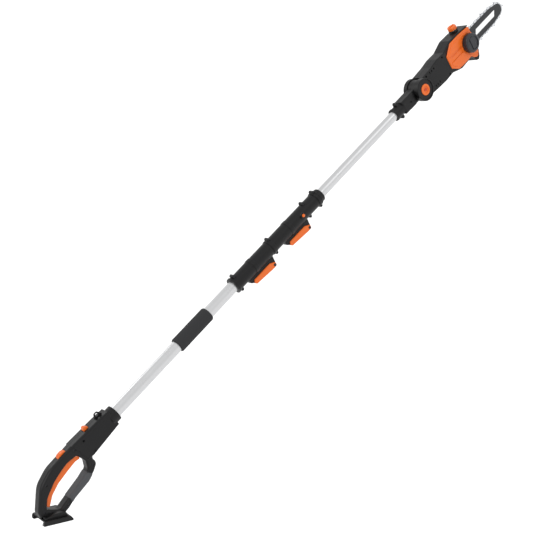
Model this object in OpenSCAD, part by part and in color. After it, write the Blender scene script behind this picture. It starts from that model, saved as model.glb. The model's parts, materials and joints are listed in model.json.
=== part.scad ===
// Telescoping pole saw. +X runs along the pole to the saw head, +Z is the side of the
// lock-off button, and -Y is the near side, with the sprocket cover.
// The origin is on the pole's axis, where it passes through the rear grip.

/* [Pole] */
// Distance from the rear grip to the tilt pivot, with the pole pulled out
reach = 1600; // [1600:10:1700]
// How far the upper tube slides into the lower tube
travel = 370; // [200:10:370]
// Outside diameter of the lower tube
lower_od = 34; // [33.5:0.5:35]
// Outside diameter of the upper tube
upper_od = 30; // [29:0.5:30]
// Wall of both tubes
tube_wall = 1.5; // [1.2:0.1:1.5]
// Outside diameter of the foam grip
foam_od = 44; // [40:1:50]
// Outside diameter of the coupler's collars
coupler_od = 45; // [44:1:48]

/* [Handle] */
// Half the thickness of the rear grip
grip_half = 17; // [16:0.5:18]
// Half the thickness of the body ahead of the grip
body_half = 20; // [19:0.5:22]
// Wall of the moulded shells
shell_wall = 2.6; // [2:0.1:3]
// Length and width of the battery foot
foot_size = 80; // [76:1:84]
// Angle of the battery foot below the pole's axis
foot_angle = 38.9; // [36:0.1:42]

/* [Saw head] */
// Radius of the tilt joint's discs
disc_r = 36; // [34:1:38]
// Width of the guide bar
bar_w = 51; // [48:1:52]

/* [Hidden] */
$fn = 48;

black = "#26272a";
orange = "#f47a20";
steel = "#9a9da1";
silver = "#c9ccd0";

run_gap = 0.05;                         // radial clearance of a running fit
part_gap = 0.4;                         // gap between parts that pass each other
tube_bottom = 112;                      // where the lower tube ends inside the handle
handle_front = 206;                     // front face of the handle's collar
lower_top = 1050;                       // upper end of the lower tube
upper_bottom = lower_top + 20 - travel; // lower end of the upper tube, pulled out
upper_top = reach - 62;                 // upper end of the upper tube, inside the link
foam_from = 452;
foam_to = 580;
coupler_split = 849;                    // where the two collars meet
coupler_from = 690;
coupler_to = 1090;
lever_pivot_1 = [831, -45];             // axis of the lower clamp lever, in X and Z
lever_pivot_2 = [994, -45];
lever_len = 80;
pole_button_at = [990, 6];
drive_z = -2;                           // the bar, the motor and the spindle lie on this line
bar_y = -12.6;                          // middle plane of the bar and the chain
pad_y = -10.4;                          // face of the housing that the bar lies on
recess_y = -8.6;                        // face of the housing beside the chain
cover_y = -27;                          // outer face of the sprocket cover
housing_far_y = 27;
knob_x = reach + 251;
spindle_x = reach + 192;
bar_top_x = reach + 404;                // where the bar starts to narrow
nose_r = 18.4;
nose_x = reach + 461 - nose_r;
drive_link_count = 33;                  // drive links in the chain
rivet_r = 18.2;                         // the rivets' circle on the drive sprocket
rivet_lift = 3.4;                       // rivets' height over the bar's edge
motor_from = reach + 78;
motor_to = reach + 138;
motor_y = 2;
gear_teeth = 24;
pinion_teeth = 8;
gear_r = 18;
pinion_r = gear_r * pinion_teeth / gear_teeth;
oil_x = reach + 246;
oil_y = 6;
barrel_near = -16;                      // the link's barrel, across Y
barrel_far = 14;
ear_near = -36;                         // outer faces of the tilt joint's ears
ear_far = 30;
trigger_pivot = [54, 3];
lock_off_x = 30;
latch_x = 119;

// ---- outlines: corners [x, z, radius], anticlockwise ----
function unit(v) = v / norm(v);
function at(c) = [c[0], c[1]];
function cross2(a, b) = a[0] * b[1] - a[1] * b[0];
function arc_corner(a, b, c, r, n) =
    let (u = unit(a - b), v = unit(c - b), half = acos(u * v) / 2,
         cut = min(r / tan(half), 0.48 * min(norm(a - b), norm(c - b))),
         rr = cut * tan(half), m = b + unit(u + v) * rr / sin(half),
         p = b + u * cut - m, q = b + v * cut - m,
         a0 = atan2(p[1], p[0]), d = atan2(q[1], q[0]) - a0,
         sweep = d > 180 ? d - 360 : d < -180 ? d + 360 : d)
    [for (i = [0:n]) m + rr * [cos(a0 + sweep * i / n), sin(a0 + sweep * i / n)]];
function rounded(list, n = 5) =
    [for (i = [0:len(list) - 1])
        let (b = list[i], a = list[(i + len(list) - 1) % len(list)], c = list[(i + 1) % len(list)])
        each (b[2] > 0 ? arc_corner(at(a), at(b), at(c), b[2], n) : [at(b)])];
function inset(list, t) =
    [for (i = [0:len(list) - 1])
        let (b = at(list[i]), a = at(list[(i + len(list) - 1) % len(list)]),
             c = at(list[(i + 1) % len(list)]), d = unit(b - a), e = unit(c - b),
             p = b - t * [d[1], -d[0]], q = b - t * [e[1], -e[0]],
             m = p + d * cross2(q - p, e) / cross2(d, e),
             r = list[i][2] + (cross2(d, e) > 0 ? -t : t))
        [m[0], m[1], max(r, 0.3)]];

handle_outline = [[190, 27, 5], [150, 30, 30], [66, 33, 60], [-20, 30.5, 80], [-65, 15, 60],
    [-112, -34, 18], [-115.4, -48, 1], [-64, -89.5, 1], [-46, -88.5, 6], [-20, -81.5, 40],
    [36, -77.5, 40], [62, -68, 14], [83, -56, 14], [80, -34, 12], [190, -25, 5]];
hand_opening = [[-89, -43, 5], [-66, -72, 12], [-30, -66.5, 30], [24, -59, 40], [52, -52, 12],
    [63, -30, 10], [56, 1, 8], [25, 6, 40], [-2, 2, 40], [-30, -5, 40], [-68, -22, 30]];
strut_outline = [[-34, -85.3, 4], [-20, -81.5, 40], [36, -77.5, 40], [58, -69.5, 6], [47, -53.3, 6],
    [24, -59, 40], [-30, -66.5, 4]];
trigger_outline = [[-80, -49, 3], [-54, -30, 30], [-24, -19.5, 40], [16, -14, 40], [44, -11.5, 12],
    [58, -15, 3], [62, 5, 5], [50, 9, 5], [14, 9, 30], [-24, 1, 30], [-62, -16, 20], [-86, -38, 4]];
// The saw head, with X measured from the tilt pivot
neck_outline = [[0, -34, 10], [62, -39, 40], [104, -41, 40], [142, -38.5, 12], [166, -47, 10],
    [186, -52.5, 12], [240, -49.5, 6], [252, -60, 4], [256, -72, 4], [267, -76, 3], [275, -68, 4],
    [283, -52, 10], [286, -40, 3], [286, 46, 6], [228, 51.5, 20], [186, 52.5, 12], [166, 46, 12],
    [142, 38.5, 12], [104, 39.5, 40], [68, 34.5, 40], [0, 31, 10]];
cover_outline = [[143, -25, 5], [171, -45, 8], [200, -47.5, 20], [241, -46, 5], [252, -58, 4],
    [264, -64, 5], [275, -58, 5], [282, -34, 8], [282, 42, 6], [228, 46.5, 20], [180, 46.5, 12],
    [143, 19.5, 5]];

module slab(y0, y1) {
    translate([0, y1, 0]) rotate([90, 0, 0]) linear_extrude(y1 - y0) children();
}
module shape(list) { polygon(rounded(list)); }
module rod_x(x0, x1, r, y = 0, z = 0) {
    translate([x0, y, z]) rotate([0, 90, 0]) cylinder(h = x1 - x0, r = r);
}
module rod_y(y0, y1, r, x, z) {
    translate([x, y0, z]) rotate([-90, 0, 0]) cylinder(h = y1 - y0, r = r);
}
module rod_z(z0, z1, r, x, y = 0) { translate([x, y, z0]) cylinder(h = z1 - z0, r = r); }
module box(x, y, z) { translate([x[0], y[0], z[0]]) cube([x[1] - x[0], y[1] - y[0], z[1] - z[0]]); }
module screw(y0, len, x, z, head_r = 3.2, r = 1.5) {
    difference() {
        union() {
            rod_y(y0, y0 + 2.4, head_r, x, z);
            rod_y(y0 + 2.4, y0 + len, r, x, z);
        }
        rod_y(y0 - 1, y0 + 1.4, 1.4, x, z, $fn = 6);
    }
}
module near_half() { intersection() { children(); box([-400, 2400], [-90, 0], [-200, 200]); } }
module far_half() { intersection() { children(); box([-400, 2400], [0, 90], [-200, 200]); } }
// A coil spring along Z, as one closed sweep
module coil(r, wire, h, turns) {
    sides = 6;
    steps = turns * 10;
    ring = [for (i = [0:steps]) let (a = 36 * i)
        [for (k = [0:sides - 1]) let (b = 360 * k / sides, q = r + wire * cos(b))
            [q * cos(a), q * sin(a), wire + (h - 2 * wire) * i / steps + wire * sin(b)]]];
    polyhedron([for (g = ring) each g], concat([[for (k = [0:sides - 1]) k]],
        [for (i = [0:steps - 1]) for (k = [0:sides - 1]) let (n = (k + 1) % sides)
            [i * sides + k, (i + 1) * sides + k, (i + 1) * sides + n, i * sides + n]],
        [[for (k = [sides - 1:-1:0]) steps * sides + k]]), convexity = 6);
}

// ---- rear handle ----
module foot_frame() { translate([-94, 0, -82]) rotate([0, foot_angle, 0]) children(); }
module foot_block() {
    s = foot_size / 2;
    foot_frame() difference() {
        union() {
            slab(-s, s)
                shape([[-s, 0, 1], [s, 0, 1], [s, 5, 1], [s - 7, 13, 2], [-s + 3, 13, 2], [-s, 8, 2]]);
            slab(-s + 9, s - 9)
                shape([[-s + 6, 8, 1], [s - 8, 8, 1], [s - 16, 24, 4], [s - 40, 24, 4], [-s + 8, 17, 3]]);
        }
        box([-s - 1, s - 6], [-s + 9, s - 9], [3.2, 10.4]);
        box([-s - 1, s - 6], [-s + 13, s - 13], [-1, 4]);
    }
}
handle_bosses = [[92, 20], [60, 19], [-50, 8], [-98, -42], [-42, -78], [98, -26], [70, -50]];
module handle_solid() {
    difference() {
        union() {
            slab(-grip_half, grip_half) shape(handle_outline);
            slab(-body_half, body_half) intersection() {
                shape(inset(handle_outline, -0.01));
                polygon([[70, -32], [200, -40], [200, 60], [56, 60], [64, 6]]);
            }
            rod_x(180, handle_front, 23.5);
            foot_block();
        }
        slab(-60, 60) shape(hand_opening);
    }
}
module handle_hollow() {
    difference() {
        union() {
            slab(-grip_half + shell_wall, grip_half - shell_wall) difference() {
                shape(inset(handle_outline, shell_wall));
                shape(inset(hand_opening, -shell_wall));
            }
            slab(-body_half + shell_wall, body_half - shell_wall) intersection() {
                shape(inset(handle_outline, shell_wall + 0.02));
                polygon([[76, -28], [200, -40], [200, 60], [62, 60], [70, 9]]);
            }
        }
        for (b = handle_bosses) rod_y(-60, 60, 4, b[0], b[1]);
        box([186, 200], [-40, 40], [-40, 40]);
    }
    rod_x(tube_bottom, handle_front + 1, lower_od / 2 + 0.02);
    for (b = handle_bosses) {
        rod_y(-60, 60, 1.55, b[0], b[1]);
        rod_y(-60, -13, 3.3, b[0], b[1]);
    }
    // the trigger's slot, over its whole swing
    for (a = [-0.6, 1.5, 3, 4]) trigger_turned(a)
        slab(-8.6, 8.6) shape(inset(trigger_outline, -1));
    rod_y(-grip_half + 4, grip_half - 4, 2.02, trigger_pivot[0], trigger_pivot[1]);
    // openings for the two buttons and for the terminals
    box([lock_off_x - 14.5, lock_off_x + 14.5], [-8.5, 8.5], [16, 50]);
    box([latch_x - 8.5, latch_x + 8.5], [-7.5, 7.5], [18, 50]);
}
module handle_shell() {
    difference() {
        handle_solid();
        handle_hollow();
        strut_sleeve(-0.02);
    }
}
module handle_shell_near() { color(black) near_half() handle_shell(); }
module handle_shell_far() { color(black) far_half() handle_shell(); }
// A sleeve round the strut, open at both ends
module strut_sleeve(more = 0) {
    difference() {
        slab(-grip_half - 1.2, grip_half + 1.2) shape(inset(strut_outline, -1.2));
        slab(-grip_half + 1.5 - more, grip_half - 1.5 + more) difference() {
            shape(inset(handle_outline, 1.5 - more));
            shape(inset(hand_opening, -1.5 + more));
        }
    }
}
module strut_cover() { color("#4a4c50") strut_sleeve(); }
module trigger_turned(a) {
    translate([trigger_pivot[0], 0, trigger_pivot[1]]) rotate([0, a, 0])
        translate([-trigger_pivot[0], 0, -trigger_pivot[1]]) children();
}
module trigger() {
    color(orange) difference() {
        slab(-8, 8) shape(trigger_outline);
        rod_y(-9, 9, 2 + run_gap, trigger_pivot[0], trigger_pivot[1]);
        box([-38, -26], [-4.6, 4.6], [-6.5, 6]);
    }
}
module trigger_pin() {
    color(steel) rod_y(-grip_half + 4.1, grip_half - 4.1, 2, trigger_pivot[0], trigger_pivot[1]);
}
module trigger_spring() { color(steel) translate([-32, 0, -6.4]) coil(3.2, 0.5, 24, 6); }
module main_switch() {
    color("#1d1e20") {
        box([-16, 12], [-6, 6], [15, 25.5]);
        box([2, 8], [-2, 2], [13, 15]);
    }
}
module lock_off_button() {
    color(orange) slab(-8, 8) translate([lock_off_x, 0])
        shape([[-14, 25, 1], [14, 25, 1], [14, 33, 3], [4, 37, 5], [-8, 36, 8], [-14, 31, 4]]);
}
module lock_off_spring() { color(steel) translate([lock_off_x + 2, 0, 16.9]) coil(3, 0.45, 8, 4); }
module tube_latch() {
    color(orange) slab(-7, 7) shape([[latch_x - 8, 22, 1], [latch_x + 8, 22, 1], [latch_x + 8, 33, 2],
        [latch_x + 2, 40, 2], [latch_x - 4, 41, 2], [latch_x - 8, 34, 3]]);
}
module tube_latch_spring() { color(steel) translate([latch_x, 0, 17.5]) coil(2.6, 0.45, 4.4, 3); }
module strap_eyelet() {
    color(black) difference() {
        slab(-2.5, 2.5) shape([[152, 27.6, 0.5], [178, 27.6, 0.5], [174, 37, 4],
            [170, 43, 5], [160, 43, 5], [156, 37, 4]]);
        rod_y(-5, 5, 4, 165, 36);
        slab(-20, 20) shape([[130, 20, 1], [190, 20, 1], [190, 27.2, 1], [150, 30.05, 30], [130, 30.6, 1]]);
    }
}
module terminal_block() { color("#1d1e20") foot_frame() box([6, 32], [-17, 17], [4, 10.3]); }
module terminal_blades() {
    color("#c8a24a") foot_frame() for (y = [-12, 0, 12]) box([-9, 5.9], [y - 0.4, y + 0.4], [5, 9.8]);
}
module control_board() {
    color("#1f5a38") box([78, 110], [-15, 15], [-20, -18.4]);
    color("#1d1e20") {
        box([80, 92], [-9, 9], [-18.5, -11]);
        for (y = [-5, 5]) rod_z(-18.5, -9, 3.6, 102, y);
    }
}
module handle_screws() {
    color("#3a3b3e") for (b = handle_bosses) screw(b[0] > 60 ? -15.6 : -15.4, 24, b[0], b[1], 3, 1.5);
}

// ---- pole ----
module tube(x0, x1, od) {
    difference() {
        rod_x(x0, x1, od / 2);
        rod_x(x0 - 1, x1 + 1, od / 2 - tube_wall);
    }
}
module lower_tube() {
    color(silver) difference() {
        tube(tube_bottom + 0.2, lower_top, lower_od);
        // the round pole button reaches the upper tube through this hole
        rod_y(-30, 0, 4.6, pole_button_at[0], pole_button_at[1]);
    }
}
module foam_grip() {
    color("#33353a") difference() {
        union() {
            rod_x(foam_from + 3, foam_to - 3, foam_od / 2);
            rod_x(foam_from, foam_to, foam_od / 2 - 2);
        }
        rod_x(foam_from - 1, foam_to + 1, lower_od / 2 + 0.02);
    }
}
module curly_cable() { color("#202124") rod_x(tube_bottom + 30, 640, 10); }
module head_lead() { color("#202124") rod_x(641, upper_top - 6, 3.5); }
module collar_lugs(x, r = 5, out = 24.5) {
    for (s = [-1, 1]) slab(-9, 9) translate([x, s * out]) circle(r);
    box([x - 5, x + 5], [-9, 9], [-out, out]);
}
// The black base under the collar, with the lug that carries the lever's pin
module clamp_base(p) {
    slab(-9, 9) shape([[p[0] - lever_len - 14, -18, 1], [p[0] - lever_len - 14, -31, 4],
        [p[0] - lever_len - 8, -37, 4], [p[0] - lever_len + 2, -33, 3], [p[0] - 16, -33, 3],
        [p[0] - 7, p[1] - 3, 3], [p[0] - 4, p[1] - 6, 3], [p[0] + 4, p[1] - 6, 3],
        [p[0] + 7, p[1] - 3, 3], [p[0] + 12, -18, 1]]);
}
module coupler_solid_lower() {
    rod_x(coupler_from + 8, coupler_split, coupler_od / 2);
    rod_x(coupler_from, coupler_from + 8, coupler_od / 2 + 3);
    rod_x(768, 782, coupler_od / 2 + 1.6);
    collar_lugs(706);
    clamp_base(lever_pivot_1);
}
module coupler_solid_upper() {
    rod_x(coupler_split, 1072, coupler_od / 2);
    rod_x(coupler_split, coupler_split + 14, coupler_od / 2 + 2);
    rod_x(931, 945, coupler_od / 2 + 1.4);
    rod_x(1062, 1076, coupler_od / 2 + 2.4);
    rod_x(1076, coupler_to, coupler_od / 2 - 1);
    collar_lugs(861);
    collar_lugs(1020, 4.5);
    collar_lugs(1070, 5.5);
    clamp_base(lever_pivot_2);
    rod_y(-26, 0, 9, pole_button_at[0], pole_button_at[1]);
}
module coupler_hollow() {
    rod_x(coupler_from - 1, lower_top + 0.5, lower_od / 2 + 0.02);
    rod_x(lower_top, coupler_to + 1, upper_od / 2 + 1);
    rod_x(lower_top + 1, lower_top + 30, upper_od / 2 + 3);
    for (p = [lever_pivot_1, lever_pivot_2]) {
        rod_y(-14, 14, 2.02, p[0], p[1]);
        box([p[0] - 30.1, p[0] - 13.9], [-7.1, 7.1], [-36, -10]);
    }
    for (x = [706, 861, 1020, 1070], s = [-1, 1]) {
        rod_y(-20, 20, 1.55, x, s * 24.5);
        rod_y(-20, -6.5, 3.3, x, s * 24.5);
    }
    rod_y(-30, 0, 5 + run_gap, pole_button_at[0], pole_button_at[1]);
    rod_y(-23, 0, 7, pole_button_at[0], pole_button_at[1]);
}
module coupler_lower_near() {
    color(black) near_half() difference() { coupler_solid_lower(); coupler_hollow(); }
}
module coupler_lower_far() {
    color(black) far_half() difference() { coupler_solid_lower(); coupler_hollow(); }
}
module coupler_upper_near() {
    color(black) near_half() difference() { coupler_solid_upper(); coupler_hollow(); }
}
module coupler_upper_far() {
    color(black) far_half() difference() { coupler_solid_upper(); coupler_hollow(); }
}
// A channel over the base: two side walls and the outer plate that the fingers lift
module clamp_lever(p) {
    color(orange) difference() {
        slab(-12.5, 12.5) shape([[p[0] - lever_len, -30, 2], [p[0] - lever_len - 4, -38, 4],
            [p[0] - lever_len, -46, 4], [p[0] - 12, -52, 5], [p[0] + 6, -52, 5], [p[0] + 7, -40, 5],
            [p[0] - 12, -30, 6]]);
        slab(-9.5, 9.5) shape([[p[0] - lever_len - 20, -20, 1], [p[0] - lever_len - 20, -34, 1],
            [p[0] - lever_len - 3, -42.5, 2], [p[0] - 13, -48.6, 2], [p[0] - 10, -60, 1],
            [p[0] + 20, -60, 1], [p[0] + 20, -20, 1]]);
        rod_y(-14, 14, 2 + run_gap, p[0], p[1]);
    }
}
module clamp_lever_lower() { clamp_lever(lever_pivot_1); }
module clamp_lever_upper() { clamp_lever(lever_pivot_2); }
module lever_pins() {
    color(steel) for (p = [lever_pivot_1, lever_pivot_2]) rod_y(-12.4, 12.4, 2, p[0], p[1]);
}
module clamp_pads() {
    color("#55585d") for (p = [lever_pivot_1, lever_pivot_2]) difference() {
        box([p[0] - 30, p[0] - 14], [-7, 7], [-34, -12]);
        rod_x(p[0] - 40, p[0], lower_od / 2 + 0.05);
    }
}
module coupler_screws() {
    color("#3a3b3e") for (x = [706, 861, 1020, 1070], s = [-1, 1]) screw(-8.9, 16, x, s * 24.5, 3, 1.5);
}
module pole_button() {
    color(orange) {
        rod_y(-29, -20, 5, pole_button_at[0], pole_button_at[1]);
        rod_y(-21.5, -20, 6.8, pole_button_at[0], pole_button_at[1]);
    }
}
module pole_button_spring() {
    color(steel) translate([pole_button_at[0], -17.3, pole_button_at[1]]) rotate([90, 0, 0])
        coil(3, 0.4, 2.6, 2);
}
module guide_bush() {
    color("#55585d") difference() {
        rod_x(lower_top + 1.2, lower_top + 29.8, upper_od / 2 + 2.9);
        rod_x(lower_top, lower_top + 31, upper_od / 2 + run_gap);
    }
}
module upper_tube() {
    color(silver) difference() {
        tube(upper_bottom, upper_top, upper_od);
        // the button drops into this hole when the pole is pulled out
        rod_y(-30, 0, 4, pole_button_at[0], pole_button_at[1]);
    }
}
module slide_bush() {
    color("#55585d") difference() {
        union() {
            rod_x(upper_bottom - 4, upper_bottom - 0.1, lower_od / 2 - tube_wall - run_gap);
            rod_x(upper_bottom - 0.2, upper_bottom + 24, upper_od / 2 - tube_wall - 0.02);
        }
        rod_x(upper_bottom - 5, upper_bottom + 30, 11.5);
    }
}

// ---- tilt joint ----
module link_solid() {
    translate([reach, 0, 0]) {
        rod_y(barrel_near, barrel_far, disc_r - 3, 0, 0);
        slab(barrel_near, barrel_far) shape([[-70, -21.8, 2], [0, -21.8, 0], [0, 21.8, 0], [-70, 21.8, 2]]);
        intersection() {
            slab(-20, 20) shape([[-96, -21.8, 3], [-42, -21.8, 2], [-37, -14, 4],
                [-37, 14, 4], [-42, 21.8, 2], [-96, 21.8, 3]]);
            rod_x(-100, -30, 26);
        }
        rod_x(-132, -92, 19.5);
        rod_x(-132, -124, 21);
        for (s = [-1, 1]) slab(-9, 9) translate([-106, s * 23.5]) circle(5.5);
        box([-111.5, -100.5], [-9, 9], [-23.5, 23.5]);
    }
}
module link_hollow() {
    translate([reach, 0, 0]) {
        rod_x(-133, -61.8, upper_od / 2 + 0.02);
        rod_x(-70, -30, 9);
        rod_y(-40, 40, 6 + 0.02, 0, 0);
        difference() {
            rod_y(barrel_near + 9, barrel_far - shell_wall, disc_r - 6, 0, 0);
            rod_y(-40, 40, 9, 0, 0);
        }
        rod_y(barrel_near - 1, barrel_near + 7, 23.02, 0, 0);
        for (s = [-1, 1]) {
            rod_y(-20, 20, 1.55, -106, s * 23.5);
            rod_y(-20, -6.5, 3.3, -106, s * 23.5);
        }
        rod_y(-30, -15.5, 3.3, -62, 0);
    }
}
module link_near() { color(black) near_half() difference() { link_solid(); link_hollow(); } }
module link_far() { color(black) far_half() difference() { link_solid(); link_hollow(); } }
module link_screws() {
    color("#3a3b3e") for (s = [-1, 1]) screw(-8.9, 16, reach - 106, s * 23.5, 3, 1.5);
}
// The ring in the barrel with the notches that hold each tilt
module lock_ring() {
    color(steel) difference() {
        rod_y(barrel_near + 1, barrel_near + 7, 23, reach, 0);
        rod_y(barrel_near, barrel_near + 8, 17.5, reach, 0);
        for (k = [0:23]) translate([reach, 0, 0]) rotate([0, 15 * k, 0])
            box([16.5, 20], [barrel_near, barrel_near + 8], [-1.3, 1.3]);
    }
}
module pivot_axle() { color(steel) rod_y(ear_near + 12, ear_far - 5, 6, reach, 0); }
module tilt_button() {
    color(orange) difference() {
        union() {
            rod_y(ear_near + 0.6, ear_near + 11, 18, reach, 0);
            rod_y(ear_near + 9, ear_near + 11, 20.4, reach, 0);
        }
        rod_y(ear_near - 1, ear_near + 2.4, 11, reach, 0);
        rod_y(ear_near + 6, ear_near + 12, 14, reach, 0);
    }
}
module tilt_button_spring() {
    color(steel) translate([reach, ear_near + 18.4, 0]) rotate([90, 0, 0]) coil(9, 0.7, 12, 3);
}

// ---- saw head ----
module head_frame() { translate([reach, 0, 0]) children(); }
module ear_discs() {
    rod_y(ear_near, barrel_near - part_gap, disc_r, 0, 0);
    rod_y(barrel_far + part_gap, ear_far, disc_r, 0, 0);
}
module housing_solid() {
    difference() {
        union() {
            slab(-24, housing_far_y - 1) shape(neck_outline);
        }
        // the recess that the cover sits in, deeper beside the chain, and the bar's way out
        slab(-40, pad_y) shape(inset(cover_outline, -0.4));
        slab(-40, recess_y) difference() {
            shape(inset(cover_outline, 1));
            polygon([[224, -19], [300, -19], [300, 15], [224, 15]]);
        }
        box([230, 300], [-40, pad_y], [-46, 44]);
        box([270, 300], [-40, recess_y], [-44, -20]);
        box([270, 300], [-40, recess_y], [16, 40]);
        // the barrel turns in here
        rod_y(barrel_near - part_gap, barrel_far + part_gap, disc_r + 1, 0, 0);
        box([-60, 0.01], [-60, 60], [-60, 60]);
    }
    difference() {
        ear_discs();
        rod_y(ear_near - 1, ear_near + 2.5, disc_r - 4, 0, 0);
    }
}
module housing_hollow() {
    difference() {
        union() {
            slab(-24 + shell_wall, housing_far_y - 1 - shell_wall) intersection() {
                shape(inset(neck_outline, shell_wall));
                polygon([[disc_r + 4, -70], [146, -70], [146, 70], [disc_r + 4, 70]]);
            }
            slab(recess_y + shell_wall, housing_far_y - 1 - shell_wall) intersection() {
                shape(inset(neck_outline, shell_wall));
                polygon([[140, -70], [251, -46], [283, -44], [283, 60], [140, 60]]);
            }
        }
        for (b = concat(head_bosses, pad_bosses)) rod_y(-60, 60, 4, b[0], b[1]);
        // bosses of the bar stud and of the spindle's bearings
        rod_y(-12, 0, 8, knob_x - reach, drive_z);
        rod_y(-12, -2.5, 12, spindle_x - reach, drive_z);
        rod_y(15.5, 40, 11, spindle_x - reach, drive_z);
    }
    // tilt axle, button and spring
    rod_y(ear_near + 12, ear_far - 5, 6 + run_gap, 0, 0);
    rod_y(ear_near - 1, ear_near + 10, 18 + run_gap, 0, 0);
    rod_y(ear_near + 5, barrel_near, 20.5 + run_gap, 0, 0);
    // spindle, stud, oil neck and air vents
    rod_y(pad_y - 1, 0, 9.02, spindle_x - reach, drive_z);
    rod_y(pad_y - 1, -1, 3.02, knob_x - reach, drive_z);
    rod_y(14, 21.3, 8.02, spindle_x - reach, drive_z);
    rod_y(14, 23.2, 4.5, spindle_x - reach, drive_z);
    rod_z(36, 60, 12.6, oil_x - reach, oil_y);
    for (x = [54, 64, 76], s = [-1, 1]) slab(-40, 40) translate([x, s * 25]) square([3.5, 7], center = true);
    for (b = head_bosses) {
        rod_y(-60, 12, 1.55, b[0], b[1]);
        rod_y(-60, -11, 3.3, b[0], b[1]);
    }
    for (b = pad_bosses) {
        rod_y(-60, 16, 1.55, b[0], b[1]);
        rod_y(-60, -5.9, 3.3, b[0], b[1]);
    }
}
// Screws in the open, and screws that the sprocket cover hides
head_bosses = [[127, 31], [127, -33], [34, 25], [34, -26.5]];
pad_bosses = [[212, 45], [212, -46]];
module housing() {
    head_frame() difference() {
        union() {
            housing_solid();
            // the collar round the oil tank's neck
            rod_z(47, 56, 15.5, oil_x - reach, oil_y);
        }
        housing_hollow();
    }
}
module housing_near() { color(black) near_half() housing(); }
module housing_far() { color(black) far_half() housing(); }
module housing_screws() {
    color("#3a3b3e") head_frame() {
        for (b = head_bosses) screw(-13.5, 22, b[0], b[1], 3, 1.5);
        for (b = pad_bosses) screw(-8.4, 22, b[0], b[1], 3, 1.5);
    }
}
module sprocket_cover() {
    color(orange) head_frame() difference() {
        slab(cover_y, pad_y - 0.1) shape(cover_outline);
        slab(cover_y + 2.5, pad_y + 1) difference() {
            shape(inset(cover_outline, 2.5));
            translate([knob_x - reach, drive_z]) circle(9);
            polygon([[200, -50], [240, -43], [300, -43], [300, -80], [200, -80]]);
        }
        slab(bar_y - 2.1, pad_y + 1) difference() {
            shape(inset(cover_outline, 2.5));
            polygon([[200, -50], [240, -43], [300, -43], [300, -80], [200, -80]]);
        }
        box([270, 300], [cover_y + 2.5, 0], [-40, 38]);
        rod_y(-40, 0, 3.3, knob_x - reach, drive_z);
        rod_y(-40, cover_y + 2, 26, knob_x - reach, drive_z);
        rod_y(-40, 0, 3, 268.8, -54);
        // channels that run back from the knob
        for (z = [-12, 8]) slab(cover_y - 1, cover_y + 1.2) translate([160, z - 3])
            shape([[0, 0, 2], [62, 0, 2], [62, 6, 2], [0, 6, 2]]);
    }
}
module cover_knob() {
    color("#2b2c30") head_frame() difference() {
        union() {
            rod_y(-49.5, cover_y - 0.2, 29, knob_x - reach, drive_z);
            rod_y(-46, cover_y - 4, 31.5, knob_x - reach, drive_z);
            rod_y(cover_y - 0.3, cover_y + 1.6, 25.4, knob_x - reach, drive_z);
        }
        for (k = [0:17]) translate([knob_x - reach, 0, drive_z]) rotate([0, 20 * k, 0])
            rod_y(-60, -20, 2.2, 32.6, 0);
        rod_y(-60, -46.5, 22, knob_x - reach, drive_z);
        rod_y(-43, 0, 3 + run_gap, knob_x - reach, drive_z);
    }
}
module bar_stud() { color(steel) head_frame() rod_y(-42, -1, 3, knob_x - reach, drive_z); }
nose_from = 80;                         // where the nose's arc meets the bar's edge
bar_outline = concat([[228, -18, 8], [262, -bar_w / 2, 60], [bar_top_x - reach, -bar_w / 2, 60]],
    [for (a = [-nose_from:8:nose_from]) [nose_x - reach + nose_r * cos(a), nose_r * sin(a), 0]],
    [[bar_top_x - reach, bar_w / 2, 60], [262, bar_w / 2, 60], [228, 18, 8]]);
module bar_shape(t) { translate([0, drive_z]) shape(inset(bar_outline, t)); }
module guide_bar() {
    color("#43464b") head_frame() difference() {
        slab(bar_y - 2, bar_y + 2) bar_shape(0);
        slab(bar_y - 0.75, bar_y + 0.75) difference() {
            bar_shape(-5);
            bar_shape(7);
        }
        // room for the nose sprocket, round its rivet
        difference() {
            rod_y(bar_y - 0.75, bar_y + 0.75, 16.5, nose_x - reach, drive_z);
            rod_y(bar_y - 3, bar_y + 3, 5, nose_x - reach, drive_z);
        }
        slab(bar_y - 3, bar_y + 3) translate([234, drive_z - 4.2])
            shape([[0, 0, 4], [38, 0, 4], [38, 8.4, 4], [0, 8.4, 4]]);
        rod_y(bar_y - 3, bar_y + 3, 3, 292, drive_z);
    }
}
module star(teeth, root, tip, half_root, half_tip) {
    circle(root);
    for (k = [0:teeth - 1]) rotate(360 * k / teeth)
        polygon([[root - 1, -half_root], [tip, -half_tip], [tip, half_tip], [root - 1, half_root]]);
}
module nose_sprocket() {
    color(steel) head_frame() difference() {
        slab(bar_y - 0.6, bar_y + 0.6) translate([nose_x - reach, drive_z]) star(7, 11, 15.6, 2.6, 1.2);
        rod_y(bar_y - 3, bar_y + 3, 5 + run_gap, nose_x - reach, drive_z);
    }
}
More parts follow.
